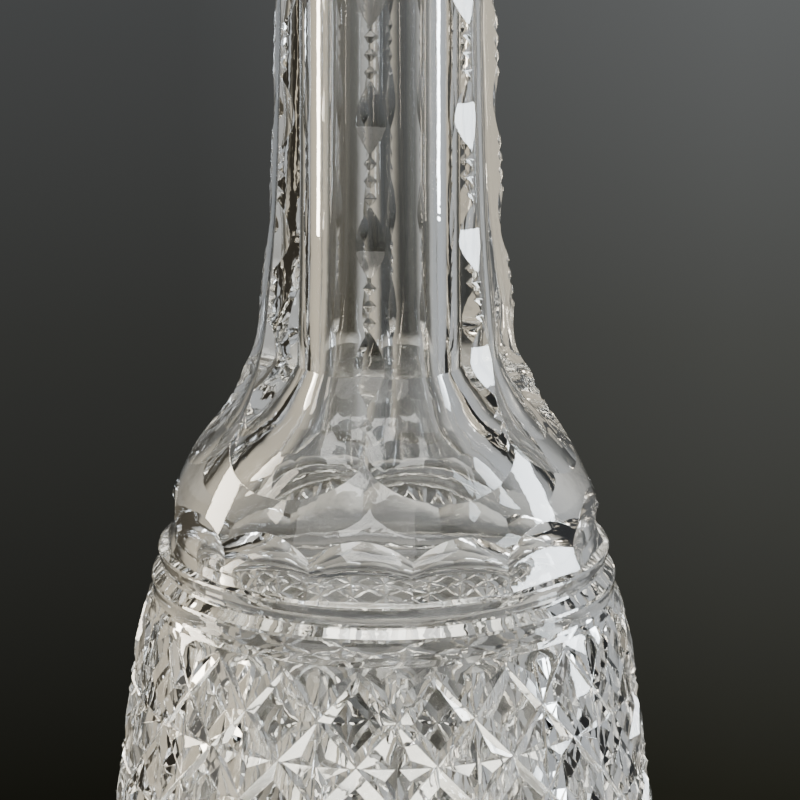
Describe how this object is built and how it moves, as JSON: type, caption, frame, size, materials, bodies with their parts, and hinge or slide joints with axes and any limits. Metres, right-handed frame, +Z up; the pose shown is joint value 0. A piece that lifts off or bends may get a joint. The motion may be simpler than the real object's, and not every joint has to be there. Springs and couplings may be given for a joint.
{
  "type": "cut crystal decanter",
  "caption": "Tall cut crystal decanter with a fluted neck, notched ridges, arched shoulder, diamond-cut body and a lift-off faceted glass stopper.",
  "frame": {"origin": "centre of the flat foot ring, on the surface the decanter stands on", "axes": "+Z up along the bottle's axis and the stopper's lift; -Y is the side seen in the picture"},
  "size_m": [0.1056, 0.1057, 0.2825],
  "materials": {
    "bottle_crystal": "polished clear lead crystal, cut facets bright",
    "stopper_crystal": "polished clear lead crystal with a finely ground plug"
  },
  "bodies": {
    "bottle": {"bottle": "bottle_crystal"},
    "stopper": {"stopper": "stopper_crystal"}
  },
  "joints": [
    {"name": "stopper_lift", "type": "slide", "parent": "bottle", "child": "stopper", "axis": [0, 0, 1], "range_m": [0, 0.08]}
  ]
}
